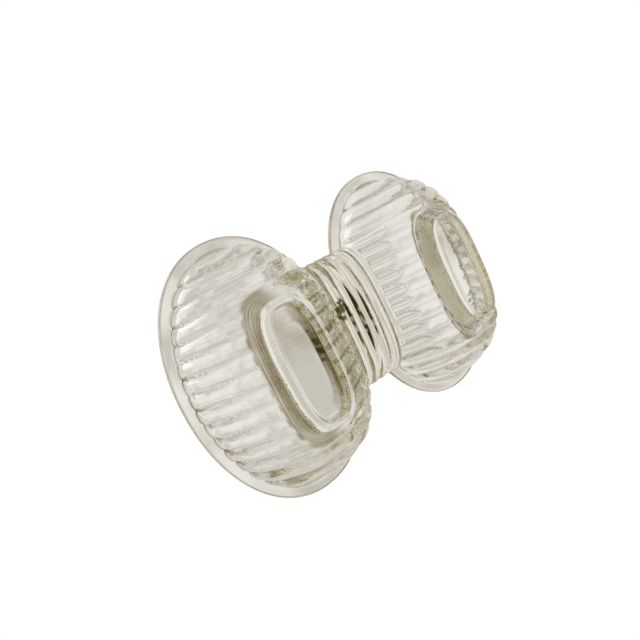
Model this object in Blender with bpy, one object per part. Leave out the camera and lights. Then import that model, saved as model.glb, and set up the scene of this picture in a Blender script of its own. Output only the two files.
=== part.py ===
"""Twin table dish in clear pressed glass: two oval ribbed bowls side by side, joined by a ringed neck.

The dish stands on its two feet at z = 0 with its bowls open upward. X runs through both bowls, Y runs along
each bowl's long axis, and the origin is midway between the feet. The glass is one moulding, drawn here as its
eight plain regions with a hairline joint between neighbours: two rims, two ribbed bowls, two feet, the ringed
neck and the bridge plate over it. Sizes are in metres, and depths are measured down from the rim plane.
"""

import math

import bmesh
import bpy

COLLECTION = "twin_glass_dish"
JOINT = 0.0003  # hairline between neighbouring regions

# Whole dish
HEIGHT = 0.0289
BOWL_SPACING = 0.062  # centre to centre
GLASS_COLOUR = (0.83, 0.82, 0.76, 1.0)

# Rim: a flat oval flange
RIM = (0.0284, 0.0413, 2.1)  # half length in X, half length in Y, superellipse power
RIM_THICK = 0.0019
MOUTH = (0.0236, 0.0364, 2.1)
RIM_POINTS = 96

# Outside wall of a bowl, from under the rim down to the foot
WALL_TOP = (0.0253, 0.0378, 2.03)
WALL_FOOT = (0.0105, 0.021, 3.4)
WALL_END_DEPTH = 0.02425
WALL_BULGE = (1.25, 1.45)  # 1 is a straight slope, 2 a quarter ellipse
RIB_PITCH = 0.0046
RIB_HEIGHT = 0.0011
RIB_START = 0.12  # a rib starts and ends this far into its rise and fall
END_SLICE = 0.0376  # Y of the last slice at each end of the bowl, where the wall has almost closed
NECK_SIDE_SWELL = 0.065  # how much fuller the wall is on the side that faces the neck
WALL_ROWS = 9

# Inside of a bowl
WELL_FLOOR = (0.008, 0.0175, 3.0)
WELL_DEPTH = 0.0223
WELL_ROWS = 9
WELL_POINTS = 72

# Foot: an oval pad with rounded shoulders and a shallow recess below
FOOT_FACE = (0.0077, 0.0176, 2.9)
FOOT_SHOULDER = (0.0085, 0.0183, 3.0)
FOOT_SHOULDER_DROP = 0.0008
FOOT_WAIST = (0.25, 0.3)  # share of the way from wall to shoulder, inward and downward
SHOULDER_ROUND = (0.4, 0.3)  # share of the way from shoulder to face, inward, and share of the drop left
RECESS = (0.0058, 0.0165, 3.2)
RECESS_FLOOR = (0.0049, 0.0157, 3.2)
RECESS_DEPTH = 0.0014
FOOT_POINTS = 64

# Neck: a ringed bar of U section that hangs under the bridge plate
NECK_HALF_WIDTH = 0.0211
NECK_DEPTH = 0.0135
NECK_POWER = 3.2
NECK_POINTS = 25
NECK_REACH = 0.0165  # half length before the bowls are cut away
RING_PITCH = 0.0033
RING_HEIGHT = 0.0015

# Bridge plate, level with the rims
BRIDGE_HALF_WIDTH = 0.0206
BRIDGE_FILLET = 0.0017
FILLET_POINTS = 4
BRIDGE_EDGE_STEPS = 14

OVERSHOOT = 0.003  # how far a cutter runs past the surface that it cuts
WELD = 1e-6


def clear_scene():
    for obj in list(bpy.data.objects):
        bpy.data.objects.remove(obj, do_unlink=True)


def make_collection(name):
    collection = bpy.data.collections.new(name)
    bpy.context.scene.collection.children.link(collection)
    return collection


def make_glass(name):
    """Clear soda glass with a faint straw tint."""
    glass = bpy.data.materials.new(name)
    glass.use_nodes = True
    shader = glass.node_tree.nodes["Principled BSDF"]
    shader.inputs["Base Color"].default_value = GLASS_COLOUR
    shader.inputs["Roughness"].default_value = 0.04
    shader.inputs["Metallic"].default_value = 0.0
    shader.inputs["Transmission Weight"].default_value = 0.9
    shader.inputs["IOR"].default_value = 1.52
    return glass


def add_object(name, mesh, collection, smooth_degrees=35):
    obj = bpy.data.objects.new(name, mesh)
    collection.objects.link(obj)
    if collection.name == COLLECTION:
        mesh.shade_smooth()
        mesh.set_sharp_from_angle(angle=math.radians(smooth_degrees))
        mesh.materials.append(make_glass(name + "_glass"))
    else:
        obj.hide_render = True
        obj.display_type = "WIRE"
    return obj


def subtract(obj, cutter):
    cut = obj.modifiers.new("cut_" + cutter.name, "BOOLEAN")
    cut.operation = "DIFFERENCE"
    cut.solver = "EXACT"
    cut.object = cutter


def oval(size, count):
    """Points round a superellipse, anticlockwise, as (x, y)."""
    half_x, half_y, power = size
    points = []
    for i in range(count):
        angle = 2 * math.pi * i / count
        c, s = math.cos(angle), math.sin(angle)
        points.append(
            (
                half_x * math.copysign(abs(c) ** (2 / power), c),
                half_y * math.copysign(abs(s) ** (2 / power), s),
            )
        )
    return points


def level(size, depth, count, centre_x):
    """An oval ring of points at a depth below the rim plane."""
    return [(centre_x + x, y, HEIGHT - depth) for x, y in oval(size, count)]


def mix(a, b, share):
    return a + (b - a) * share


def mix_size(a, b, share):
    return tuple(mix(p, q, share) for p, q in zip(a, b))


def close_mesh(bm, mesh):
    """Welds the mesh into one body with its faces pointing out, and stores it."""
    bmesh.ops.remove_doubles(bm, verts=bm.verts, dist=WELD)
    bmesh.ops.recalc_face_normals(bm, faces=bm.faces)
    if bm.calc_volume(signed=True) < 0:
        bmesh.ops.reverse_faces(bm, faces=bm.faces)
    bm.to_mesh(mesh)
    bm.free()


def loft(name, sections, collection):
    """A closed solid through sections that all have the same number of points."""
    mesh = bpy.data.meshes.new(name)
    bm = bmesh.new()
    rings = [[bm.verts.new(point) for point in section] for section in sections]
    count = len(rings[0])
    for lower, upper in zip(rings, rings[1:]):
        for i in range(count):
            j = (i + 1) % count
            bm.faces.new((lower[i], lower[j], upper[j], upper[i]))
    bm.faces.new(reversed(rings[0]))
    bm.faces.new(rings[-1])
    bmesh.ops.dissolve_degenerate(bm, edges=bm.edges, dist=WELD)
    close_mesh(bm, mesh)
    return add_object(name, mesh, collection)


def swell(share, bulge):
    """How much of the wall's spread is left at a share of its depth."""
    return max(0.0, 1 - share**bulge) ** (1 / bulge)


def wall_size(share):
    """Outside oval of the bowl at a share of the way from the rim to the foot."""
    return (
        mix(WALL_FOOT[0], WALL_TOP[0], swell(share, WALL_BULGE[0])),
        mix(WALL_FOOT[1], WALL_TOP[1], swell(share, WALL_BULGE[1])),
        mix(WALL_TOP[2], WALL_FOOT[2], share),
    )


def hoop(y, height, top_depth, centre_x):
    """One slice of the bowl in a plane of constant y: down one side, over the bottom and up the other."""
    reach = abs(y)
    deepest = 1.0
    if reach > WALL_FOOT[1]:
        spread = (reach - WALL_FOOT[1]) / (WALL_TOP[1] - WALL_FOOT[1])
        deepest = swell(spread, WALL_BULGE[1])
    away, facing = [], []
    for row in range(WALL_ROWS + 1):
        share = deepest * row / WALL_ROWS
        half_x, half_y, power = wall_size(share)
        across = half_x * max(0.0, 1 - (reach / half_y) ** power) ** (1 / power)
        fuller = NECK_SIDE_SWELL * math.sin(math.pi * share)
        fade = math.sin(math.pi * min(1.0, mix(RIB_START, 1, share))) if deepest == 1.0 else 1.0
        lift = height * fade
        depth = min(mix(RIM_THICK, WALL_END_DEPTH, share) + lift * share, WALL_END_DEPTH)
        z = HEIGHT - max(top_depth, depth)
        outward = math.copysign(1, centre_x)
        away.append((centre_x + outward * (across + lift), y, z))
        facing.append((centre_x - outward * (across * (1 + fuller) + lift), y, z))
    return away + facing[::-1]


def wall_sections(grow, relief, top_depth, centre_x):
    """Slices through the bowl at each rib's crest, in each groove between ribs, and at the two ends."""
    last = int(WALL_TOP[1] / (RIB_PITCH / 2))
    sections = []
    for i in range(-last, last + 1):
        ridge = relief / 2 if i % 2 == 0 else -relief / 2
        sections.append(hoop(i * RIB_PITCH / 2, grow + ridge, top_depth, centre_x))
    first_end = hoop(-END_SLICE, grow, top_depth, centre_x)
    last_end = hoop(END_SLICE, grow, top_depth, centre_x)
    return [first_end] + sections + [last_end]


def make_well(name, centre_x, cutters):
    """The hollow of a bowl, as a cutter that runs out through the mouth."""
    sections = [level(MOUTH, -OVERSHOOT, WELL_POINTS, centre_x)]
    for row in range(WELL_ROWS + 1):
        share = row / WELL_ROWS
        size = (
            mix(WELL_FLOOR[0], MOUTH[0], swell(share, WALL_BULGE[0])),
            mix(WELL_FLOOR[1], MOUTH[1], swell(share, WALL_BULGE[1])),
            mix(MOUTH[2], WELL_FLOOR[2], share),
        )
        sections.append(level(size, WELL_DEPTH * share, WELL_POINTS, centre_x))
    return loft(name, sections, cutters)


def make_bowl(side, centre_x, well, parts):
    top = RIM_THICK + JOINT
    bowl = loft(side + "_bowl", wall_sections(0.0, RIB_HEIGHT, top, centre_x), parts)
    subtract(bowl, well)
    return bowl


def make_rim(side, centre_x, parts):
    """The flat flange round a bowl's mouth: two ovals filled between and given a thickness."""
    curve = bpy.data.curves.new(side + "_rim_outline", "CURVE")
    curve.dimensions = "2D"
    curve.fill_mode = "BOTH"
    curve.extrude = RIM_THICK / 2
    for size in (RIM, MOUTH):
        points = oval(size, RIM_POINTS)
        spline = curve.splines.new("POLY")
        spline.points.add(len(points) - 1)
        for point, (x, y) in zip(spline.points, points):
            point.co = (x, y, 0, 1)
        spline.use_cyclic_u = True
    return mesh_from_outline(side + "_rim", curve, centre_x, HEIGHT - RIM_THICK / 2, parts)


def mesh_from_outline(name, curve, x, z, parts):
    """Turns a filled outline into a closed mesh object in place."""
    outline = bpy.data.objects.new(name + "_outline", curve)
    bpy.context.scene.collection.objects.link(outline)
    outline.location = (x, 0, z)
    bpy.context.view_layer.update()
    evaluated = outline.evaluated_get(bpy.context.evaluated_depsgraph_get())
    mesh = bpy.data.meshes.new_from_object(evaluated)
    mesh.name = name
    place = outline.matrix_world.copy()
    bpy.data.objects.remove(outline)
    bm = bmesh.new()
    bm.from_mesh(mesh)
    close_mesh(bm, mesh)
    obj = add_object(name, mesh, parts)
    obj.matrix_world = place
    return obj


def make_foot(side, centre_x, parts, cutters):
    top = WALL_END_DEPTH + JOINT
    shoulder = HEIGHT - FOOT_SHOULDER_DROP
    waist = mix_size(WALL_FOOT, FOOT_SHOULDER, FOOT_WAIST[0])
    corner = mix_size(FOOT_SHOULDER, FOOT_FACE, SHOULDER_ROUND[0])
    rings = (
        (WALL_FOOT, top),
        (waist, mix(top, shoulder, FOOT_WAIST[1])),
        (FOOT_SHOULDER, shoulder),
        (corner, HEIGHT - SHOULDER_ROUND[1] * FOOT_SHOULDER_DROP),
        (FOOT_FACE, HEIGHT),
    )
    sections = [level(size, depth, FOOT_POINTS, centre_x) for size, depth in rings]
    foot = loft(side + "_foot", sections, parts)
    hollow = [
        level(RECESS_FLOOR, HEIGHT - RECESS_DEPTH, FOOT_POINTS, centre_x),
        level(RECESS, HEIGHT, FOOT_POINTS, centre_x),
        level(RECESS, HEIGHT + OVERSHOOT, FOOT_POINTS, centre_x),
    ]
    subtract(foot, loft(side + "_foot_recess", hollow, cutters))
    return foot


def u_section(x, lift):
    """The neck's outline across X: flat on top, round underneath."""
    top = RIM_THICK + JOINT
    points = []
    for i in range(NECK_POINTS):
        angle = math.pi * i / (NECK_POINTS - 1)
        c, s = math.cos(angle), math.sin(angle)
        y = (NECK_HALF_WIDTH + lift) * math.copysign(abs(c) ** (2 / NECK_POWER), c)
        depth = top + (NECK_DEPTH - top + lift) * s ** (2 / NECK_POWER)
        points.append((x, y, HEIGHT - depth))
    return points


def make_neck(parts, cutters):
    """A bar with a half-round ring at each pitch, trimmed to the two bowls."""
    last = int(NECK_REACH / (RING_PITCH / 2))
    sections = []
    for i in range(-last, last + 1):
        lift = RING_HEIGHT / 2 if i % 2 == 0 else -RING_HEIGHT / 2
        sections.append(u_section(i * RING_PITCH / 2, lift))
    neck = loft("ringed_neck", sections, parts)
    for side, centre_x in sides():
        room = wall_sections(RIB_HEIGHT / 2 + JOINT, 0.0, -OVERSHOOT, centre_x)
        subtract(neck, loft(side + "_bowl_room", room, cutters))
    return neck


def rim_x(y):
    """How far a rim reaches in X from its own centre, at a given y."""
    return RIM[0] * (1 - (abs(y) / RIM[1]) ** RIM[2]) ** (1 / RIM[2])


def bridge_corner():
    """Points from the rim round the hollow fillet to the bridge's straight edge, where x and y are positive."""
    start_y = BRIDGE_HALF_WIDTH + BRIDGE_FILLET
    edge_x = BOWL_SPACING / 2 - rim_x(start_y) - JOINT
    centre = (edge_x - BRIDGE_FILLET, start_y)
    corner = []
    for i in range(FILLET_POINTS + 1):
        angle = math.pi / 2 * i / FILLET_POINTS
        corner.append(
            (
                centre[0] + BRIDGE_FILLET * math.cos(angle),
                centre[1] - BRIDGE_FILLET * math.sin(angle),
            )
        )
    return corner


def make_bridge(parts):
    """The plate that fills the gap between the two rims, over the neck."""
    corner = bridge_corner()
    limit = corner[0][1]
    edge = [limit * (2 * i / BRIDGE_EDGE_STEPS - 1) for i in range(1, BRIDGE_EDGE_STEPS)]
    side = [(BOWL_SPACING / 2 - rim_x(y) - JOINT, y) for y in edge]
    right = [(x, -y) for x, y in reversed(corner)] + side + corner
    left = [(-x, -y) for x, y in right]
    curve = bpy.data.curves.new("bridge_outline", "CURVE")
    curve.dimensions = "2D"
    curve.fill_mode = "BOTH"
    curve.extrude = RIM_THICK / 2
    spline = curve.splines.new("POLY")
    spline.points.add(len(right + left) - 1)
    for point, (x, y) in zip(spline.points, right + left):
        point.co = (x, y, 0, 1)
    spline.use_cyclic_u = True
    return mesh_from_outline("bridge_plate", curve, 0.0, HEIGHT - RIM_THICK / 2, parts)


def sides():
    return (("left", -BOWL_SPACING / 2), ("right", BOWL_SPACING / 2))


def main():
    clear_scene()
    parts = make_collection(COLLECTION)
    cutters = make_collection("cutters")
    for side, centre_x in sides():
        well = make_well(side + "_well", centre_x, cutters)
        make_bowl(side, centre_x, well, parts)
        make_rim(side, centre_x, parts)
        make_foot(side, centre_x, parts, cutters)
    make_neck(parts, cutters)
    make_bridge(parts)


main()
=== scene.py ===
"""Looks of the twin table dish: one clear pressed-glass moulding on a pale floor, under soft light.

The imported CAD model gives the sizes: the rims, feet, neck and bridge plate are read from its boxes. The glass
is built here as one closed body, because it is one moulding and clear glass shows every hidden surface inside
it. Sizes are in metres, and depths are measured down from the rim plane, as in the CAD model.

A bowl is a stack of rings, one for each row. A row holds the ring's half length in X, its half length in Y,
its superellipse power, its depth and its zone. The zone goes from -1 at the rim's edge to 0 at the top of the
ribbed wall, 1 at the wall's foot and 2 on the foot's face. On the wall it is the share of the way down.
"""

import math
from types import SimpleNamespace

import bmesh
import bpy
import numpy as np
from mathutils import Matrix, Vector


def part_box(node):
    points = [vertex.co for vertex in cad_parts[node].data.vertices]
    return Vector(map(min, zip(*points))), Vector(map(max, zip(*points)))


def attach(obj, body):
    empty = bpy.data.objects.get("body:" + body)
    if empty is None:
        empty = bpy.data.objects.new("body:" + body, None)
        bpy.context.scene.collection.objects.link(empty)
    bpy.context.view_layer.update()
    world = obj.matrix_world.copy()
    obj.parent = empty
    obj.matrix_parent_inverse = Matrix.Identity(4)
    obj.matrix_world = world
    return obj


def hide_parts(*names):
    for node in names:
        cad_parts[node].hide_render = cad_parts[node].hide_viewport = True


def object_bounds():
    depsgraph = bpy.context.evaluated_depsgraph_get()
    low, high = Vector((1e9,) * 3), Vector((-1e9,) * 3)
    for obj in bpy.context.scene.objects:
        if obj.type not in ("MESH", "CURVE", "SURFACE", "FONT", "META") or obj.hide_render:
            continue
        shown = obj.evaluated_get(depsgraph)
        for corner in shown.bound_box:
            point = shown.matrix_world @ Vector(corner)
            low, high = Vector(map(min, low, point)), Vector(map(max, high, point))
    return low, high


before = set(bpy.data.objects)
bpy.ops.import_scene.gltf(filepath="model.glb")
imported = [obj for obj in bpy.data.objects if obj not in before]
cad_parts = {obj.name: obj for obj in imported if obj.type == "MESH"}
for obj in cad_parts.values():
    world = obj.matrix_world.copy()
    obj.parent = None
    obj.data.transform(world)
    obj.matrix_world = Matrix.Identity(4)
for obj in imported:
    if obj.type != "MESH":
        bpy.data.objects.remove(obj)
CAD_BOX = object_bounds()

MM = 0.001
SIDES = ("left", "right")


def node_size(name):
    low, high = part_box(name)
    return Vector(high) - Vector(low)


def node_centre(name):
    low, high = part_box(name)
    return (Vector(high) + Vector(low)) / 2


# Sizes that the CAD model sets
HEIGHT = CAD_BOX[1].z
RIM_HALF = (node_size("left_rim").x / 2, node_size("left_rim").y / 2)
RIM_THICK = node_size("left_rim").z
FOOT_TOP_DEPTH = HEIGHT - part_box("left_foot")[1][2]
FOOT_HALF = (node_size("left_foot").x / 2, node_size("left_foot").y / 2)
NECK_CREST_HALF_WIDTH = node_size("ringed_neck").y / 2
NECK_CREST_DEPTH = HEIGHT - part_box("ringed_neck")[0][2]
CENTRES = {side: node_centre(side + "_rim").x for side in SIDES}

# Ovals as (half length in X, half length in Y, superellipse power)
RIM = (*RIM_HALF, 2.1)
MOUTH = (23.6 * MM, 36.4 * MM, 2.1)
WALL_TOP = (25.3 * MM, 37.8 * MM, 2.03)
WALL_FOOT = (*FOOT_HALF, 3.4)
WALL_BULGE = (1.25, 1.45)  # how fully the walls bow out, in X and in Y
WELL_FLOOR = (8.0 * MM, 17.5 * MM, 3.0)
WELL_DEPTH = 22.3 * MM
MOUTH_ROUND = 0.5 * MM  # how far down the well's edge starts to flare
MOUTH_FLARE = 1.2 * MM
WELL_LID = 3 * MM  # how far the hollow's cutter runs on past the rim plane
FOOT_SHOULDER = (8.5 * MM, 18.3 * MM, 3.0)
SHOULDER_DROP = 0.8 * MM
FOOT_FACE = (7.7 * MM, 17.6 * MM, 2.9)
RECESS = (5.8 * MM, 16.5 * MM, 3.2)
RECESS_FLOOR = (4.9 * MM, 15.7 * MM, 3.2)
RECESS_DEPTH = 1.4 * MM
MIDDLE_HALF = (0.02 * MM, 0.05 * MM)  # the tiny ring that closes a stack at its middle

# Zones of the rows that are off the wall
ON_TOP = -1
ON_FACE = 2

# Ribs
RIB_PITCH = 4.6 * MM
RIB_LEAD = -0.15  # ribs start this share of the way out along the lip's underside
RIB_START = (RIB_LEAD, 0.02)
RIB_END = (0.985, 1.0)
RIB_CREST = 0.55 * MM  # how far a rib stands out from the plain wall
RIB_GROOVE = 0.45 * MM  # how far the groove beside it is sunk
RIB_ROUNDNESS = 0.85
RIB_BEAT = 2.4  # a rib's height goes up and down from rib to rib
RIB_BEAT_SHARE = 0.16
RIB_WANDER_SHARE = 0.14
RIB_WANDER_SIZE = 4 * MM
LIP_TAPER = (0, 0.35)  # where the ribs grow to full height below the lip
LIP_TAPER_START = 0.45
FOOT_TAPER = (0.35, 0.95)  # where they sink towards the foot
FOOT_TAPER_LOSS = 0.45
RIB_DRIFT = 0.18 * MM
RIB_DRIFT_SIZE = 5 * MM
BOWL_SHIFT = 30 * MM  # makes the drift of the two bowls' ribs differ

# The wall that faces the neck
NECK_SIDE_SWELL = 0.065  # how much fuller it is than the other side
NECK_SIDE_UNEVEN = (0.8, 2.1)  # times that, on its -Y half and at its +Y end
NECK_SIDE_REACH = 24 * MM
FACING_X = (0.075, 0.3)  # where it starts and where it fully counts, as a share of the rim's half length
FACING_Y = (19 * MM, 23 * MM)  # where it ends towards the bowl's ends
FACING_CREST = 1.7  # how much higher its ribs are
TIP_SHARE = 0.80  # where its ribs end
TIP_LENGTH = 0.13  # how much sooner a rib's edges end than its middle
TIP_POWER = 2.4
TIP_STEP = (-0.035, 0)
TIP_STUB = 0.3 * MM  # what is left of a rib past its tip

# Small faults of the pressed glass, and the fine tool lines round a foot's side
SKIN_HEIGHT = 0.05 * MM  # of the uneven skin
SKIN_SIZE = 1.7 * MM
FOOT_LINE_PITCH = 0.7 * MM
FOOT_LINE_HEIGHT = 0.035 * MM
FOOT_LINE_SWAY = 1.5
FOOT_LINE_SIZE = 6 * MM
FOOT_LINE_BAND = (1.05, 1.2, 1.8, 1.95)

# The lap at the -Y end of the left bowl, where the glass folded over itself as it was pressed
LAP_MIDDLE = (-0.5 * MM, 20 * MM)  # in X from the bowl's centre, and in Z
LAP_HALF = (7.5 * MM, 4 * MM)
LAP_SLOPE = 0.25  # how much it rises towards the neck
LAP_WOBBLE = 0.12
LAP_WOBBLE_SIZE = 1.1 * MM
LAP_EDGE = 0.06
LAP_THICK = 0.25 * MM

# Waves of the uneven field: how fast each goes along its two places, and its phase
WAVES = ((1.0, 0.3, 0.4), (-0.7, 1.1, 2.1), (1.9, -1.3, 4.0), (0.4, 2.3, 1.2))
WAVE_FADE = 0.4  # how much weaker each next wave is
WAVE_SUM = 2.2

# Neck
RING_PITCH = 3.3 * MM
RING_CREST = 0.8 * MM
RING_GROOVE = 0.75 * MM
RING_ROUNDNESS = 0.96
NECK_REACH = 16.0 * MM  # how far the bar runs each way, into the bowls
NECK_POWER = 3.2  # of the superellipse that its section follows
NECK_HALF_WIDTH = NECK_CREST_HALF_WIDTH - RING_CREST
NECK_DEPTH = NECK_CREST_DEPTH - RING_CREST

# Bridge plate
BRIDGE_FILLET = 1.7 * MM
BRIDGE_HALF_WIDTH = node_size("bridge_plate").y / 2 - BRIDGE_FILLET
BRIDGE_OVERLAP = 3.0 * MM  # how far the plate runs on into the rims
BRIDGE_ROUND = 0.5 * MM
HAIR = 0.02 * MM  # keeps joined faces from lying in one plane

# Fineness of the mesh
COLUMNS = 900
WELL_COLUMNS = 288
NECK_COLUMNS = 181
WALL_ROWS = 240
WELL_ROWS = 120
FILLET_POINTS = 9
ROUND_SEGMENTS = 4
WALL_STEP = 0.26 * MM
RING_STEP = 0.12 * MM
FOOT_STEP = 0.12 * MM
FACE_STEP = 0.4 * MM
LIP_STEP = 0.35 * MM
FLAT_STEP = 2.5 * MM
ROW_TURN = math.radians(7)  # rows lie closer where the outline turns more than this
PATH_STEP = 0.1 * MM
EDGE_SOFTNESS = 0.25 * MM
SHARP_ANGLE = math.radians(50)


def oval(half_x, half_y, power, angle):
    c, s = np.cos(angle), np.sin(angle)
    reach = (np.abs(c) ** power + np.abs(s) ** power) ** (-1 / power)
    return half_x * c * reach, half_y * s * reach


def inside(half_x, half_y, power, x, y):
    """Below 1 inside an oval and above 1 outside it."""
    return ((np.abs(x) / half_x) ** power + (np.abs(y) / half_y) ** power) ** (1 / power)


def mix(a, b, share):
    return a + (b - a) * share


def smooth_step(low, high, value):
    t = np.clip((value - low) / (high - low), 0, 1)
    return t * t * (3 - 2 * t)


def band(start, full, fade, end, value):
    """1 between full and fade, and 0 before start and past end."""
    return smooth_step(start, full, value) * (1 - smooth_step(fade, end, value))


def bump_at(middle, width, value):
    return np.exp(-(((value - middle) / width) ** 2))


def ridges(position, pitch, roundness):
    """Round crests at every pitch with sharp grooves between: 1 on a crest and 0 in a groove.

    At roundness 1 a crest is a half circle, and at less it is a shallower arc.
    """
    across = 2 * (position / pitch - np.round(position / pitch))
    edge = math.sqrt(1 - roundness)
    return (np.sqrt(1 - roundness * across**2) - edge) / (1 - edge)


def wander(a, b, size):
    """A smooth uneven field between about -1 and 1, for the small faults of hand-pressed glass."""
    field = 0
    for k, (rate_a, rate_b, phase) in enumerate(WAVES):
        field = field + np.sin((rate_a * a + rate_b * b) / size + phase) / (1 + WAVE_FADE * k)
    return field / WAVE_SUM


def swell(share, bulge):
    return np.clip(1 - share**bulge, 0, 1) ** (1 / bulge)


def bowed_rows(low, top, low_depth, top_depth, count):
    """Rows up a bowed wall, from its low oval to its top one. The zone is the share of the way down."""
    rows = []
    for share in np.sin(np.linspace(math.pi / 2, 0, count)):
        rows.append(
            (
                mix(low[0], top[0], swell(share, WALL_BULGE[0])),
                mix(low[1], top[1], swell(share, WALL_BULGE[1])),
                mix(top[2], low[2], share),
                mix(top_depth, low_depth, share),
                share,
            )
        )
    return rows


def outside_path():
    """Rows from the middle of the foot's recess, over the foot and up the wall, to the middle of the top."""
    foot = [
        (*MIDDLE_HALF, WALL_FOOT[2], HEIGHT - RECESS_DEPTH, ON_FACE),
        (*RECESS_FLOOR, HEIGHT - RECESS_DEPTH, ON_FACE),
        (*RECESS, HEIGHT, ON_FACE),
        (*FOOT_FACE, HEIGHT, ON_FACE),
        (*FOOT_SHOULDER, HEIGHT - SHOULDER_DROP, ON_FACE),
    ]
    wall = bowed_rows(WALL_FOOT, WALL_TOP, FOOT_TOP_DEPTH, RIM_THICK, WALL_ROWS)
    rim = [
        (*RIM, RIM_THICK, ON_TOP),
        (*RIM, 0, ON_TOP),
        (*MIDDLE_HALF, RIM[2], 0, ON_TOP),
    ]
    return foot + wall + rim


def well_path():
    """Rows of a bowl's hollow, from the middle of its floor up and out through the mouth, all of zone 0."""
    wall = [(*row[:4], 0) for row in bowed_rows(WELL_FLOOR, MOUTH, WELL_DEPTH, 0, WELL_ROWS)]
    wall[-1] = (*MOUTH, MOUTH_ROUND, 0)
    flared = (MOUTH[0] + MOUTH_FLARE, MOUTH[1] + MOUTH_FLARE, MOUTH[2])
    floor = [(*MIDDLE_HALF, WELL_FLOOR[2], WELL_DEPTH, 0)]
    lid = [
        (*flared, 0, 0),
        (*flared, -WELL_LID, 0),
        (*MIDDLE_HALF, MOUTH[2], -WELL_LID, 0),
    ]
    return floor + wall + lid


def resample(rows):
    """Rows at even steps along their path: how far along it each lies, and the rows."""
    rows = np.array(rows, float)
    steps = np.linalg.norm(np.diff(rows[:, [0, 3]], axis=0), axis=1)
    along = np.concatenate([[0], np.cumsum(steps)])
    even = np.linspace(0, along[-1], int(along[-1] / PATH_STEP))
    return even, np.stack([np.interp(even, along, column) for column in rows.T], axis=1)


def round_corners(rows, softness):
    """Blurs evenly spaced rows along their path. The first and the last stay where they are."""
    reach = int(3 * softness / PATH_STEP)
    offsets = np.arange(-reach, reach + 1)
    weights = np.exp(-0.5 * (offsets * PATH_STEP / softness) ** 2)
    weights /= weights.sum()
    padded = np.concatenate([np.repeat(rows[:1], reach, 0), rows, np.repeat(rows[-1:], reach, 0)])
    smooth = np.stack([np.convolve(column, weights, mode="valid") for column in padded.T], axis=1)
    smooth[0], smooth[-1] = rows[0], rows[-1]
    return smooth


def row_step(zone):
    """How far apart rows may lie: finest where the surface is ribbed or lined."""
    if zone >= ON_FACE:
        return FACE_STEP
    if zone > 1:
        return FOOT_STEP
    if zone >= RIB_LEAD:
        return WALL_STEP
    return LIP_STEP if zone > ON_TOP else FLAT_STEP


def soften(rows, softness):
    """Resamples a path evenly, rounds its corners, and keeps only the rows that its shape needs."""
    along, even_rows = resample(rows)
    smooth = round_corners(even_rows, softness)
    heading = np.unwrap(np.arctan2(np.gradient(smooth[:, 3]), np.gradient(smooth[:, 0])))
    kept = [0]
    for i in range(1, len(smooth) - 1):
        moved = along[i] - along[kept[-1]]
        turned = abs(heading[i] - heading[kept[-1]])
        if moved >= row_step(smooth[i, 4]) or turned > ROW_TURN:
            kept.append(i)
    kept.append(len(smooth) - 1)
    return smooth[kept]


def grid_points(rows, columns, centre_x, neck_swell=0.0):
    """Rings of points for the rows. The side that faces the neck may be fuller than the other."""
    angle = np.linspace(0, 2 * math.pi, columns, endpoint=False)
    points = np.zeros((len(rows), columns, 3))
    for i, (half_x, half_y, power, depth, zone) in enumerate(rows):
        x, y = oval(half_x, half_y, power, angle)
        fuller = neck_swell * math.sin(math.pi * min(max(zone, 0), 1))
        fuller = fuller * mix(*NECK_SIDE_UNEVEN, smooth_step(0, NECK_SIDE_REACH, y))
        x = np.where(x * centre_x < 0, x * (1 + fuller), x)
        points[i] = np.stack([centre_x + x, y, np.full(columns, HEIGHT - depth)], axis=1)
    return points


def grid_normals(points):
    """Normals of a stack of rings, all turned outward."""
    down = np.gradient(points, axis=0)
    round_ = (np.roll(points, -1, axis=1) - np.roll(points, 1, axis=1)) / 2
    normals = np.cross(round_, down)
    normals = normals / np.maximum(np.linalg.norm(normals, axis=2, keepdims=True), 1e-12)
    half_way = len(points) // 2
    ring = points[half_way]
    return np.sign((normals[half_way] * (ring - ring.mean(0))).sum()) * normals


def new_object(name, data):
    obj = bpy.data.objects.new(name, data)
    bpy.context.scene.collection.objects.link(obj)
    return obj


def object_from(bm, name):
    """A new object with the bmesh's closed body, its faces turned outward."""
    bmesh.ops.recalc_face_normals(bm, faces=bm.faces)
    if bm.calc_volume(signed=True) < 0:
        bmesh.ops.reverse_faces(bm, faces=bm.faces)
    mesh = bpy.data.meshes.new(name)
    bm.to_mesh(mesh)
    bm.free()
    return new_object(name, mesh)


def grid_object(name, points):
    """A closed body from a stack of rings, capped at both ends."""
    rows, columns = points.shape[:2]
    index = np.arange(rows * columns).reshape(rows, columns)
    after = np.roll(index, -1, axis=1)
    quads = np.stack([index[:-1], after[:-1], after[1:], index[1:]], axis=2).reshape(-1, 4)
    faces = quads.tolist() + [index[0][::-1].tolist(), index[-1].tolist()]
    grid = bpy.data.meshes.new("grid")
    grid.from_pydata(points.reshape(-1, 3).tolist(), [], faces)
    bm = bmesh.new()
    bm.from_mesh(grid)
    bpy.data.meshes.remove(grid)
    return object_from(bm, name)


def rib_y(x, y, z, towards_neck):
    """Y with the drift of the ribs taken out: a groove lies at each whole rib pitch."""
    return y + RIB_DRIFT * wander(x + towards_neck * BOWL_SHIFT, z, RIB_DRIFT_SIZE)


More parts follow.
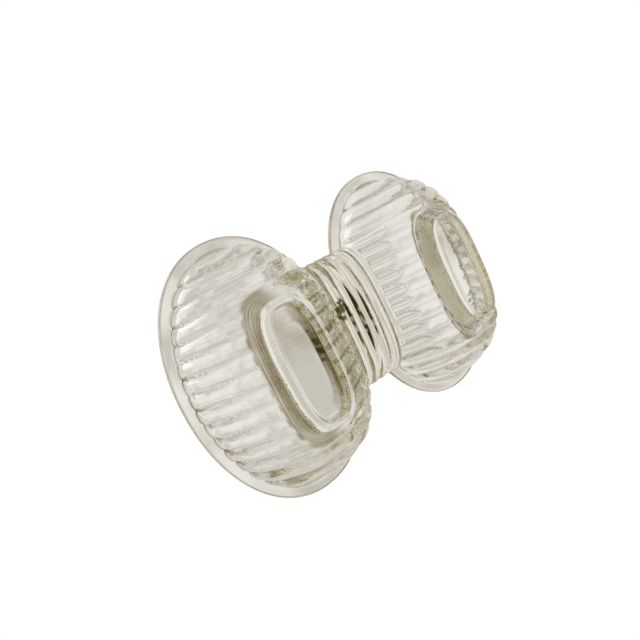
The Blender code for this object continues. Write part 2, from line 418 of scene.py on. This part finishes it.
def rib_height(x, y, z, zone, towards_neck):
    """How far the ribs stand out from the plain wall. Those that face the neck end in round tips."""
    steady = rib_y(x, y, z, towards_neck)
    across = steady / RIB_PITCH
    rib = np.floor(across)
    crest = ridges(steady - RIB_PITCH / 2, RIB_PITCH, RIB_ROUNDNESS)
    beat = RIB_BEAT_SHARE * np.sin(RIB_BEAT * rib + towards_neck)
    uneven = 1 + beat + RIB_WANDER_SHARE * wander(x, y, RIB_WANDER_SIZE)
    facing = smooth_step(*FACING_X, towards_neck * x / RIM[0])
    facing = facing * (1 - smooth_step(*FACING_Y, np.abs(y)))
    taper = 1 - FOOT_TAPER_LOSS * smooth_step(*FOOT_TAPER, zone) * (1 - facing)
    taper = taper * mix(LIP_TAPER_START, 1, smooth_step(*LIP_TAPER, zone))
    height = mix(-RIB_GROOVE, RIB_CREST * mix(1, FACING_CREST, facing) * uneven, crest) * taper
    stub = mix(-RIB_GROOVE, TIP_STUB - RIB_GROOVE, crest)
    tip = TIP_SHARE - TIP_LENGTH * np.abs(2 * (across - rib) - 1) ** TIP_POWER
    return mix(height, stub, facing * smooth_step(*TIP_STEP, zone - tip))


def foot_line(x, y, z):
    """The tool lines round a foot's side, as a wave between -1 and 1."""
    return np.sin(2 * math.pi * z / FOOT_LINE_PITCH + FOOT_LINE_SWAY * wander(x, y, FOOT_LINE_SIZE))


def lap_mark(x, y, z):
    """Above 0 inside the lap, and below 0 outside it."""
    off_x = x - CENTRES["left"]
    along = (off_x - LAP_MIDDLE[0]) / LAP_HALF[0]
    height = (z - LAP_MIDDLE[1] - LAP_SLOPE * off_x) / LAP_HALF[1]
    wobble = LAP_WOBBLE * wander(x, z, LAP_WOBBLE_SIZE)
    return np.where(y < 0, 1 - np.sqrt(along**2 + height**2) + wobble, -1)


def relief(points, rows, centre_x):
    """How far the outside moves along its normal, for its ribs, tool lines and small faults."""
    zone = rows[:, 4][:, None]
    x, y, z = points[:, :, 0] - centre_x, points[:, :, 1], points[:, :, 2]
    ribs = rib_height(x, y, z, zone, -np.sign(centre_x))
    skin = SKIN_HEIGHT * wander(x + y, z, SKIN_SIZE)
    lap = LAP_THICK * smooth_step(-LAP_EDGE, LAP_EDGE, lap_mark(x + centre_x, y, z))
    on_wall = band(*RIB_START, *RIB_END, zone)
    return on_wall * (ribs + skin + lap) + FOOT_LINE_HEIGHT * foot_line(x, y, z) * band(*FOOT_LINE_BAND, zone)


def make_bowl(side):
    rows = soften(outside_path(), EDGE_SOFTNESS)
    points = grid_points(rows, COLUMNS, CENTRES[side], NECK_SIDE_SWELL)
    points += grid_normals(points) * relief(points, rows, CENTRES[side])[:, :, None]
    return grid_object(side + "_bowl_glass", points)


def make_well(side):
    rows = soften(well_path(), 2 * EDGE_SOFTNESS)
    return grid_object(side + "_well", grid_points(rows, WELL_COLUMNS, CENTRES[side]))


def make_neck():
    """A bar of U section with a row of half-round rings."""
    angle = np.linspace(0, math.pi, NECK_COLUMNS)
    c, s = np.cos(angle), np.sin(angle)
    top = RIM_THICK / 2
    points = []
    for x in np.linspace(-NECK_REACH, NECK_REACH, int(2 * NECK_REACH / RING_STEP)):
        lift = mix(-RING_GROOVE, RING_CREST, ridges(x, RING_PITCH, RING_ROUNDNESS))
        y = (NECK_HALF_WIDTH + lift) * np.sign(c) * np.abs(c) ** (2 / NECK_POWER)
        depth = top + (NECK_DEPTH - top + lift) * s ** (2 / NECK_POWER)
        points.append(np.stack([np.full(len(y), x), y, HEIGHT - depth], axis=1))
    return grid_object("neck_glass", np.array(points))


def rim_x(y):
    return RIM[0] * (1 - (abs(y) / RIM[1]) ** RIM[2]) ** (1 / RIM[2])


def bridge_outline():
    """The bridge plate's corners, each a hollow fillet, as (x, y) all the way round."""
    start_y = BRIDGE_HALF_WIDTH + BRIDGE_FILLET
    edge_x = CENTRES["right"] - rim_x(start_y)
    centre_x = edge_x - BRIDGE_FILLET
    corner = [(edge_x + BRIDGE_OVERLAP, start_y)]
    for angle in np.linspace(0, math.pi / 2, FILLET_POINTS):
        x = centre_x + BRIDGE_FILLET * math.cos(angle)
        corner.append((x, start_y - BRIDGE_FILLET * math.sin(angle)))
    half = corner + [(-x, y) for x, y in reversed(corner)]
    return half + [(-x, -y) for x, y in half]


def make_plate():
    """The bridge between the rims, with rounded edges."""
    low = HEIGHT - RIM_THICK + HAIR
    bm = bmesh.new()
    floor = bm.faces.new([bm.verts.new((x, y, low)) for x, y in bridge_outline()])
    grown = bmesh.ops.extrude_face_region(bm, geom=[floor])
    lifted = [item for item in grown["geom"] if isinstance(item, bmesh.types.BMVert)]
    bmesh.ops.translate(bm, verts=lifted, vec=(0, 0, RIM_THICK - 2 * HAIR))
    bmesh.ops.recalc_face_normals(bm, faces=bm.faces)
    edges = [e for e in bm.edges if abs(e.verts[0].co.z - e.verts[1].co.z) < HAIR]
    bmesh.ops.bevel(
        bm, geom=edges, offset=BRIDGE_ROUND, segments=ROUND_SEGMENTS, profile=0.5, affect="EDGES"
    )
    return object_from(bm, "plate_glass")


def join_glass(name, solids, hollows):
    """One closed body: the solids joined together, less the hollows."""
    body = solids[0]
    for other, operation in [(s, "UNION") for s in solids[1:]] + [(h, "DIFFERENCE") for h in hollows]:
        step = body.modifiers.new(other.name, "BOOLEAN")
        step.operation = operation
        step.solver = "MANIFOLD"
        step.object = other
    bpy.context.view_layer.update()
    evaluated = body.evaluated_get(bpy.context.evaluated_depsgraph_get())
    mesh = bpy.data.meshes.new_from_object(evaluated)
    mesh.name = name
    for helper in solids + hollows:
        bpy.data.objects.remove(helper)
    mesh.shade_smooth()
    mesh.set_sharp_from_angle(angle=SHARP_ANGLE)
    return new_object(name, mesh)


# Painted shade and painted dark reflections, from 0 on plain glass to 1. A pair is where a smooth step starts
# and ends, except that a spot is its middle and spread, and an uneven one is its palest and strongest. A band
# is (start, full, fade, end).
PAINTED_SHADE = "painted_shade"
MOST_PAINTED_SHADE = 0.98
UNEVEN_SIZE = 2.3 * MM
BLOTCH_SIZE = 0.9 * MM
BLOTCH_STRETCH = 1.7
BLOTCH_RISE = (-0.3, 0.5)
OFF_MOUTH = (1.02, 1.04)  # out from the middle, as a share of the mouth
IN_GROOVE = (0.68, 0.92)

# Painted shade in the corner under the lip and round the rim's edge
LIP_BAND = (0.05 * MM, 0.2 * MM, 0.45 * MM, 0.75 * MM)  # below the lip
LIP_SHADE = 0.9
LIP_UNEVEN = (0.6, 1)
LIP_UNDERSIDE = 0.1 * MM
LIP_UNDERSIDE_SHADE = (0.02, 0.12)
RIM_EDGE = (0.985, 0.995)  # out from the middle, as a share of the rim
RIM_EDGE_SPREAD = 0.3 * MM
RIM_EDGE_SHADE = 0.3

# Painted dark reflections in the neck's grooves, and painted shade in its corner with the left bowl
NECK_DEPTHS = (8 * MM, 10 * MM)
NECK_SPOT_X = (-1.6 * MM, 6 * MM)
NECK_SPOT_Y = (-1 * MM, 14 * MM)
NECK_GROOVE = (0.42, 0.52)
NECK_UNEVEN = (0.9, 1.05)
NECK_BREAKS = (-0.75, -0.35)
NECK_BREAK_SIZE = 0.8 * MM
NECK_BREAK_STRETCH = 1.4
NECK_BREAK_SHARE = 0.45
NECK_REFLECTION = 0.98
CORNER_SPOT_X = (-6.6 * MM, 2.6 * MM)
CORNER_SPOT_Y = (-4.0 * MM, 5.0 * MM)
CORNER_UNEVEN = (0.35, 1.1)
CORNER_RISE = (0.3, 0.5)
CORNER_DEPTH = 8 * MM
CORNER_SHADE = 0.85

# Painted shade in the ribs' grooves and round the lap
RIB_MARK_RISE = (0.2 * MM, 0.6 * MM)  # below the lip
RIB_MARK_FADE = 1.5 * MM
RIB_MARK_END = (2.2 * MM, 6 * MM)
RIB_MARK_PATCHES = (-0.2, 0.4)
RIB_MARK_SIZE = 2.1 * MM
RIB_MARK_STRETCH = 1.3
RIB_MARK_SHADE = 0.65
BEHIND_X = (6 * MM, 9 * MM)
BEHIND_OFF_RINGS = (7.8 * MM, 8.8 * MM)
BEHIND_Y = (14 * MM, 19 * MM)
BEHIND_DEPTHS = (12 * MM, 14 * MM)
BEHIND_LOWEST = 5 * MM
BEHIND_SHADE = 0.45
LAP_EDGE_SPREAD = 0.06
LAP_UNEVEN = (0.2, 0.7)
LAP_RISE = (0.3 * MM, 1 * MM)  # below the lip

# Painted shade in the foot's recess
RECESS_SIDE_X = (0.1 * RECESS[0], 0.4 * RECESS[0])
RECESS_SPOT_Y = (-1 * MM, 12 * MM)
RECESS_RISE = (0.3 * MM, 0.5 * MM)
RECESS_OVER = 0.3 * MM
RECESS_REACH = 1.02
RECESS_OFF_MIDDLE = (0.7, 0.8)
RECESS_UNEVEN = (0.68, 0.92)
# Painted shading on the recess's floor
RECESS_SHADE_NEAR_FLOOR = 0.2 * MM
RECESS_SHADE_Y = (-6 * MM, 1 * MM)
RECESS_SHADE_UNEVEN = (0.08, 0.3)
# Painted shade on the foot's tool lines
FOOT_BAND = (0.9 * MM, 1.2 * MM, 4.3 * MM, 4.9 * MM)
FOOT_OFF_FACE = (1.0, 1.04)
FOOT_FAR_X = (-3 * MM, 3 * MM)
FOOT_UNEVEN = (0.34, 0.7)
RIGHT_FOOT_SHARE = 0.25  # how much of the left foot's painted shade the right one has
# Painted shade along the crease at the right foot's top
RIGHT_LINE_SPOT = (4.55 * MM, 0.22 * MM)
RIGHT_LINE_X = (3 * MM, 7 * MM)
RIGHT_LINE_UNEVEN = (0.4, 1)
RIGHT_LINE_SHADE = 0.85


def painted_shade_places(mesh):
    """Where the mesh's points lie, in the terms that the painted shade is placed by.

    off_x is how far a point lies from its bowl's centre in X, away from the neck.
    """
    flat = np.zeros(len(mesh.vertices) * 3)
    mesh.vertices.foreach_get("co", flat)
    x, y, z = flat.reshape(-1, 3).T
    off_x = np.abs(x) - CENTRES["right"]
    depth = HEIGHT - z
    rib = rib_y(np.sign(x) * off_x, y, z, -np.sign(x)) / RIB_PITCH
    return SimpleNamespace(
        x=x,
        y=y,
        z=z,
        off_x=off_x,
        depth=depth,
        below_lip=depth - RIM_THICK,
        off_mouth=smooth_step(*OFF_MOUTH, inside(*MOUTH, off_x, y)),
        in_groove=smooth_step(*IN_GROOVE, 1 - 2 * np.abs(rib - np.round(rib))),
        uneven=0.5 + 0.5 * wander(x, y, UNEVEN_SIZE),
        blotch=smooth_step(*BLOTCH_RISE, wander(x, BLOTCH_STRETCH * y, BLOTCH_SIZE)),
    )


def lip_painted_shade(at):
    """Painted shade: a dark line on the wall in the corner under the lip, a faint darkening of the lip's
    underside, and a dark line round the rim's edge.
    """
    line = LIP_SHADE * band(*LIP_BAND, at.below_lip) * at.off_mouth * mix(*LIP_UNEVEN, at.uneven)
    underside_shade = at.off_mouth * (np.abs(at.below_lip) < LIP_UNDERSIDE) * mix(*LIP_UNDERSIDE_SHADE, at.uneven)
    edge = smooth_step(*RIM_EDGE, inside(*RIM, at.off_x, at.y)) * bump_at(0, RIM_EDGE_SPREAD, at.below_lip)
    return line + underside_shade + RIM_EDGE_SHADE * edge


def neck_shade_and_reflection(at):
    """Painted dark reflections as broken lines in the grooves under the neck, and blotches of painted shade in
    its corner with the left bowl.
    """
    groove = np.abs(2 * (at.x / RING_PITCH - np.round(at.x / RING_PITCH)))
    under = smooth_step(*NECK_DEPTHS, at.depth) * bump_at(*NECK_SPOT_X, at.x) * bump_at(*NECK_SPOT_Y, at.y)
    lines = smooth_step(*NECK_GROOVE, groove * under * mix(*NECK_UNEVEN, at.uneven))
    breaks = smooth_step(*NECK_BREAKS, wander(NECK_BREAK_STRETCH * at.x, at.y, NECK_BREAK_SIZE))
    lines = lines * mix(NECK_BREAK_SHARE, 1, breaks)
    spot = bump_at(*CORNER_SPOT_X, at.x) * bump_at(*CORNER_SPOT_Y, at.y)
    corner = smooth_step(*CORNER_RISE, spot * mix(*CORNER_UNEVEN, at.blotch)) * (at.depth > CORNER_DEPTH)
    return NECK_REFLECTION * lines + CORNER_SHADE * corner


def wall_painted_shade(at):
    """Painted shade in the ribs' grooves, below the lip and on the left wall by the neck, and round the lap."""
    mark = at.in_groove * at.off_mouth * smooth_step(*RIB_MARK_RISE, at.below_lip)
    mark = mark * (1 - smooth_step(RIB_MARK_FADE, mix(*RIB_MARK_END, at.uneven), at.below_lip))
    mark = mark * smooth_step(*RIB_MARK_PATCHES, wander(RIB_MARK_STRETCH * at.x, at.y, RIB_MARK_SIZE))
    behind = smooth_step(*BEHIND_X, -at.off_x) * (at.x < 0) * (1 - smooth_step(*BEHIND_Y, np.abs(at.y)))
    behind = behind * at.in_groove * smooth_step(*BEHIND_DEPTHS, at.depth) * (at.z > BEHIND_LOWEST)
    behind = behind * smooth_step(*BEHIND_OFF_RINGS, np.abs(at.x))
    lap = bump_at(0, LAP_EDGE_SPREAD, lap_mark(at.x, at.y, at.z)) * at.off_mouth * mix(*LAP_UNEVEN, at.uneven)
    return RIB_MARK_SHADE * mark + BEHIND_SHADE * behind + lap * smooth_step(*LAP_RISE, at.below_lip)


def recess_painted_shade(at):
    """Blotches of painted shade round the neck's side of a recess."""
    facing = smooth_step(*RECESS_SIDE_X, -at.off_x) * bump_at(*RECESS_SPOT_Y, at.y)
    low = smooth_step(*RECESS_RISE, at.z) * (at.z < RECESS_DEPTH + RECESS_OVER)
    within = (inside(*RECESS, at.off_x, at.y) < RECESS_REACH) * low
    off_middle = smooth_step(*RECESS_OFF_MIDDLE, inside(*RECESS_FLOOR, at.off_x, at.y))
    return within * facing * off_middle * mix(*RECESS_UNEVEN, at.blotch)


def recess_floor_shade(at):
    """Faint painted shading on a recess's floor, from its -Y end to about its middle."""
    near_floor = np.abs(at.z - RECESS_DEPTH) < RECESS_SHADE_NEAR_FLOOR
    on_floor = (inside(*RECESS_FLOOR, at.off_x, at.y) < 1) * near_floor
    return on_floor * (1 - smooth_step(*RECESS_SHADE_Y, at.y)) * mix(*RECESS_SHADE_UNEVEN, at.uneven)


def foot_painted_shade(at):
    """Painted shade in the tool lines round a foot, on the side away from the neck."""
    side = band(*FOOT_BAND, at.z) * smooth_step(*FOOT_OFF_FACE, inside(*FOOT_FACE, at.off_x, at.y))
    line = 0.5 + 0.5 * foot_line(at.off_x, at.y, at.z)
    return side * smooth_step(*FOOT_FAR_X, at.off_x) * mix(*FOOT_UNEVEN, line * at.uneven)


def right_line_painted_shade(at):
    """A line of painted shade round the top of the right foot, on the neck's side."""
    line = bump_at(*RIGHT_LINE_SPOT, at.z) * (at.x > 0) * smooth_step(*RIGHT_LINE_X, -at.off_x)
    return RIGHT_LINE_SHADE * line * mix(*RIGHT_LINE_UNEVEN, at.uneven)


def paint_shade(mesh):
    """Painted shade and painted dark reflections, kept with the mesh's points for the material to read."""
    at = painted_shade_places(mesh)
    below = (recess_painted_shade(at) + foot_painted_shade(at)) * np.where(at.x < 0, 1, RIGHT_FOOT_SHARE)
    painted_shade = lip_painted_shade(at) + neck_shade_and_reflection(at) + wall_painted_shade(at) + recess_floor_shade(at) + right_line_painted_shade(at) + below
    layer = mesh.attributes.new(PAINTED_SHADE, "FLOAT", "POINT")
    layer.data.foreach_set("value", np.clip(painted_shade, 0, MOST_PAINTED_SHADE).astype(np.float32))


def add_node(tree, kind, inputs, **settings):
    """A new node. Settings are its properties, and an input takes a value or another node's output."""
    node = tree.nodes.new(kind)
    for name, value in settings.items():
        setattr(node, name, value)
    for name, value in inputs.items():
        feed(tree, node.inputs[name], value)
    return node


def feed(tree, socket, value):
    if isinstance(value, bpy.types.NodeSocket):
        tree.links.new(value, socket)
    else:
        socket.default_value = value


def remap(tree, source, low, high, start, end):
    """A smooth ramp from start to end as the source goes from low to high."""
    inputs = {"Value": source, "From Min": low, "From Max": high, "To Min": start, "To Max": end}
    return add_node(tree, "ShaderNodeMapRange", inputs, interpolation_type="SMOOTHSTEP").outputs["Result"]


def calculate(tree, operation, first, second, **settings):
    inputs = {0: first, 1: second}
    return add_node(tree, "ShaderNodeMath", inputs, operation=operation, **settings).outputs["Value"]


def multiply(tree, product, *factors):
    for factor in factors:
        product = calculate(tree, "MULTIPLY", product, factor)
    return product


def mix_colours(tree, share, first, second):
    inputs = {"Factor": share, "A": first, "B": second}
    return add_node(tree, "ShaderNodeMix", inputs, data_type="RGBA").outputs["Result"]


def mix_shaders(tree, share, first, second):
    return add_node(tree, "ShaderNodeMixShader", {"Fac": share, 1: first, 2: second}).outputs["Shader"]


def stretched_noise(tree, place, scale, fineness):
    """Noise over the object's own space, stretched by its scale on each axis."""
    stretched = add_node(tree, "ShaderNodeMapping", {"Vector": place, "Scale": scale}).outputs["Vector"]
    inputs = {"Vector": stretched, "Scale": 1, "Detail": fineness}
    return add_node(tree, "ShaderNodeTexNoise", inputs).outputs["Fac"]


# Glass, and the colours of its painted shade
UNSHADED_GLASS = (0.975, 0.972, 0.958, 1)
SHADE_AMBER = (0.58, 0.46, 0.13, 1)
SHADE_OLIVE = (0.25, 0.19, 0.06, 1)
SHADE_BROWN = (0.085, 0.06, 0.02, 1)
BROWNING = (0.55, 0.85, 0.0, 1.0)  # how strong the painted shade is where it turns from olive to brown
STRAW_CAST = (0.77, 0.72, 0.45, 1)
STRAW_DENSITY = 21
SHADOW_TINT = (0.93, 0.925, 0.90, 1)
GLASS_ROUGHNESS = 0.02
GLASS_IOR = 1.52

# Fine bumps, and where they show, as ramps of (from, to, value before, value after)
SKIN_NOISE = ((150, 150, 150), 2)
NECK_NOISE = ((900, 120, 120), 2)
RIB_NOISE = ((110, 900, 110), 4)
SKIN_BUMP = 0.14 * MM
STREAK_BUMP = 0.13 * MM
OFF_NECK = (10 * MM, 14 * MM, 0.0, 1.0)
ROUGH_NECK = (7 * MM, 10 * MM, 1.0, 0.15)
ROUGH_FAR_SIDE = (21 * MM, 28 * MM, 0.0, 0.85)
OFF_ENDS = (25 * MM, 34 * MM, 1.0, 0.1)
ABOVE_FOOT = (4 * MM, 7 * MM, 0.0, 1.0)
BELOW_RIM = (HEIGHT - 4 * MM, HEIGHT - 2 * MM, 1.0, 0.0)
SKIN_BELOW_RIM = (HEIGHT - 3 * MM, HEIGHT - 2 * MM, 1.0, 0.2)


def glass_bumps(tree):
    """A wavy skin, and streaks drawn along the ribs and round the neck, nearly worn off in between."""
    place = tree.nodes.new("ShaderNodeTexCoord").outputs["Object"]
    split = add_node(tree, "ShaderNodeSeparateXYZ", {"Vector": place})
    off_middle = calculate(tree, "ABSOLUTE", split.outputs["X"], 0)
    lengthways = calculate(tree, "ABSOLUTE", split.outputs["Y"], 0)
    above = split.outputs["Z"]
    far_side = remap(tree, off_middle, *ROUGH_FAR_SIDE)
    rough = calculate(tree, "ADD", remap(tree, off_middle, *ROUGH_NECK), far_side)
    inputs = {
        "Factor": remap(tree, off_middle, *OFF_NECK),
        "A": stretched_noise(tree, place, *NECK_NOISE),
        "B": stretched_noise(tree, place, *RIB_NOISE),
    }
    drawn = add_node(tree, "ShaderNodeMix", inputs).outputs["Result"]
    on_wall = multiply(tree, remap(tree, above, *BELOW_RIM), remap(tree, above, *ABOVE_FOOT))
    streaks = multiply(tree, on_wall, rough, remap(tree, lengthways, *OFF_ENDS), drawn)
    noise = stretched_noise(tree, place, *SKIN_NOISE)
    skin = multiply(tree, remap(tree, above, *SKIN_BELOW_RIM), noise, rough)
    inputs = {"Strength": 1.0, "Distance": SKIN_BUMP, "Height": skin}
    wavy = add_node(tree, "ShaderNodeBump", inputs).outputs["Normal"]
    inputs = {"Strength": 1.0, "Distance": STREAK_BUMP, "Height": streaks, "Normal": wavy}
    return add_node(tree, "ShaderNodeBump", inputs).outputs["Normal"]


def glass_material():
    """Old pressed glass: clear, with a straw cast that deepens with thickness, and painted shade where the mesh
    says.
    """
    material = bpy.data.materials.new("pressed_glass")
    material.use_nodes = True
    tree = material.node_tree
    painted_shade_node = tree.nodes.new("ShaderNodeAttribute")
    painted_shade_node.attribute_name = PAINTED_SHADE
    painted_shade = painted_shade_node.outputs["Fac"]
    shader = tree.nodes["Principled BSDF"]
    inputs = {
        "Base Color": mix_colours(tree, painted_shade, UNSHADED_GLASS, SHADE_AMBER),
        "Roughness": GLASS_ROUGHNESS,
        "IOR": GLASS_IOR,
        "Transmission Weight": 1.0,
        "Normal": glass_bumps(tree),
    }
    for name, value in inputs.items():
        feed(tree, shader.inputs[name], value)
    # Painted shade: an olive to brown matt layer over the glass, as strong as the mesh's painted shade share
    shade_colour = mix_colours(tree, remap(tree, painted_shade, *BROWNING), SHADE_OLIVE, SHADE_BROWN)
    painted_shade_bsdf = add_node(tree, "ShaderNodeBsdfDiffuse", {"Color": shade_colour}).outputs["BSDF"]
    surface = mix_shaders(tree, painted_shade, shader.outputs["BSDF"], painted_shade_bsdf)
    clear = add_node(tree, "ShaderNodeBsdfTransparent", {"Color": SHADOW_TINT}).outputs["BSDF"]
    in_shadow = tree.nodes.new("ShaderNodeLightPath").outputs["Is Shadow Ray"]
    body = add_node(tree, "ShaderNodeVolumeAbsorption", {"Color": STRAW_CAST, "Density": STRAW_DENSITY})
    output = tree.nodes["Material Output"]
    feed(tree, output.inputs["Surface"], mix_shaders(tree, in_shadow, surface, clear))
    feed(tree, output.inputs["Volume"], body.outputs["Volume"])
    return material


FLOOR_PAINT = (0.74, 0.735, 0.72, 1)
FLOOR_ROUGHNESS = 0.6
FLOOR_HALF = 4.0
FLOOR_DROP = 0.2 * MM  # keeps the floor clear of the feet


def floor_material():
    """Pale matt floor with one side.

    From below it is clear, and it stays clear for a ray that came up through it.
    """
    material = bpy.data.materials.new("pale_floor")
    material.use_nodes = True
    tree = material.node_tree
    paint = tree.nodes["Principled BSDF"]
    paint.inputs["Base Color"].default_value = FLOOR_PAINT
    paint.inputs["Roughness"].default_value = FLOOR_ROUGHNESS
    clear = tree.nodes.new("ShaderNodeBsdfTransparent").outputs["BSDF"]
    from_below = tree.nodes.new("ShaderNodeNewGeometry").outputs["Backfacing"]
    passed = tree.nodes.new("ShaderNodeLightPath").outputs["Transparent Depth"]
    unseen = calculate(tree, "MAXIMUM", from_below, passed, use_clamp=True)
    surface = mix_shaders(tree, unseen, paint.outputs["BSDF"], clear)
    feed(tree, tree.nodes["Material Output"].inputs["Surface"], surface)
    return material


def make_floor():
    corners = [(-1, -1), (1, -1), (1, 1), (-1, 1)]
    mesh = bpy.data.meshes.new("floor")
    mesh.from_pydata([(x * FLOOR_HALF, y * FLOOR_HALF, -FLOOR_DROP) for x, y in corners], [], [(0, 1, 2, 3)])
    mesh.materials.append(floor_material())
    floor = new_object("floor", mesh)


# The room, as ramps of (from, to, value before, value after) on the way that one looks from the dish
ROOM_HEIGHT_LIGHT = (-0.35, 0.35, 0.62, 0.84)
ROOM_DIMMING = (("Y", 0.1, (0.12, 0.5, 1.0, 0.8)), ("X", 0.42, (0.25, 0.8, 1.0, 0.85)))  # axis, middle, ramp
ROOM_CLOUD_SCALE = 5.0
ROOM_CLOUD_DETAIL = 4
ROOM_CLOUD_LIGHT = (0.36, 0.60, 0.68, 1.06)
DARK_DOORWAY = (0.93, 0.2, 0.22)  # the way to the one dark thing in the room
DOORWAY_LIGHT = (0.955, 0.985, 1.0, 0.15)
ROOM_DARKEST = (0.03, 0.022, 0.01, 1)
ROOM_GREYS = ((0.3, (0.33, 0.305, 0.255, 1)), (0.6, (0.63, 0.61, 0.57, 1)))
ROOM_LIGHTEST = (1.0, 0.99, 0.965, 1)


def room_light(tree):
    """How light the room is each way: dimmer downward and off to the sides, cloudy, with one dark doorway."""
    place = tree.nodes.new("ShaderNodeTexCoord").outputs["Generated"]
    split = add_node(tree, "ShaderNodeSeparateXYZ", {"Vector": place})
    light = remap(tree, split.outputs["Z"], *ROOM_HEIGHT_LIGHT)
    for axis, middle, ramp in ROOM_DIMMING:
        offset = calculate(tree, "SUBTRACT", split.outputs[axis], middle)
        away = calculate(tree, "ABSOLUTE", offset, 0)
        light = multiply(tree, light, remap(tree, away, *ramp))
    inputs = {"Vector": place, "Scale": ROOM_CLOUD_SCALE, "Detail": ROOM_CLOUD_DETAIL}
    cloud = add_node(tree, "ShaderNodeTexNoise", inputs).outputs["Fac"]
    inputs = {0: place, 1: Vector(DARK_DOORWAY).normalized()}
    towards = add_node(tree, "ShaderNodeVectorMath", inputs, operation="DOT_PRODUCT").outputs["Value"]
    return multiply(
        tree, light, remap(tree, cloud, *ROOM_CLOUD_LIGHT), remap(tree, towards, *DOORWAY_LIGHT)
    )


def make_world():
    """A white room: plain white behind the dish, softer greys where the glass bends its light from."""
    world = bpy.data.worlds.new("studio")
    bpy.context.scene.world = world
    world.use_nodes = True
    tree = world.node_tree
    tones = add_node(tree, "ShaderNodeValToRGB", {"Fac": room_light(tree)})
    stops = tones.color_ramp.elements
    stops[0].color, stops[1].color = ROOM_DARKEST, ROOM_LIGHTEST
    for position, colour in ROOM_GREYS:
        stops.new(position).color = colour
    room = tree.nodes["Background"]
    feed(tree, room.inputs["Color"], tones.outputs["Color"])
    white = add_node(tree, "ShaderNodeBackground", {"Color": (1, 1, 1, 1)}).outputs["Background"]
    seen = tree.nodes.new("ShaderNodeLightPath").outputs["Is Camera Ray"]
    surface = mix_shaders(tree, seen, room.outputs["Background"], white)
    feed(tree, tree.nodes["World Output"].inputs["Surface"], surface)


KEY_AT = (-0.6, -0.5, 0.9)
KEY_WIDTH = 1.0
KEY_POWER = 7


def make_light(name, place, width, power):
    lamp = bpy.data.lights.new(name, "AREA")
    lamp.shape = "SQUARE"
    lamp.size = width
    lamp.energy = power
    light = new_object(name, lamp)
    light.location = place
    light.rotation_mode = "QUATERNION"
    light.rotation_quaternion = (-Vector(place)).to_track_quat("-Z", "Y")
    light.visible_camera = False
    light.visible_transmission = False


# The camera looks up at the feet from below, from the left bowl's side
CAMERA_AT = (-85.6 * MM, -24.4 * MM, -117.3 * MM)
CAMERA_FACING = (0.467, 0.122, 0.876)
CAMERA_UP = (0.445, -0.888, -0.114)
LENS_MM = 29.1
SENSOR_MM = 36.0
SHIFT_Y = 0.001
CLIP_START = 1 * MM
CLIP_END = 20


def make_camera():
    data = bpy.data.cameras.new("camera")
    data.lens = LENS_MM
    data.sensor_width = SENSOR_MM
    data.shift_y = SHIFT_Y
    data.clip_start = CLIP_START
    data.clip_end = CLIP_END
    camera = new_object("camera", data)
    back = -Vector(CAMERA_FACING).normalized()
    right = Vector(CAMERA_UP).cross(back).normalized()
    up = back.cross(right)
    turn = Matrix((right, up, back)).transposed()
    camera.matrix_world = Matrix.Translation(CAMERA_AT) @ turn.to_4x4()
    bpy.context.scene.camera = camera


BOUNCES = 24  # light crosses many walls of the glass


def set_render():
    scene = bpy.context.scene
    scene.view_settings.view_transform = "Standard"
    scene.cycles.use_denoising = True
    scene.cycles.max_bounces = BOUNCES
    scene.cycles.glossy_bounces = BOUNCES
    scene.cycles.transmission_bounces = BOUNCES
    scene.cycles.transparent_max_bounces = BOUNCES


def main():
    solids = [make_bowl(side) for side in SIDES] + [make_neck(), make_plate()]
    dish = join_glass("dish_glass", solids, [make_well(side) for side in SIDES])
    paint_shade(dish.data)
    dish.data.materials.clear()
    dish.data.materials.append(glass_material())
    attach(dish, "root")
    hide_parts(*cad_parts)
    make_floor()
    make_world()
    make_light("key", KEY_AT, KEY_WIDTH, KEY_POWER)
    make_camera()
    set_render()


main()
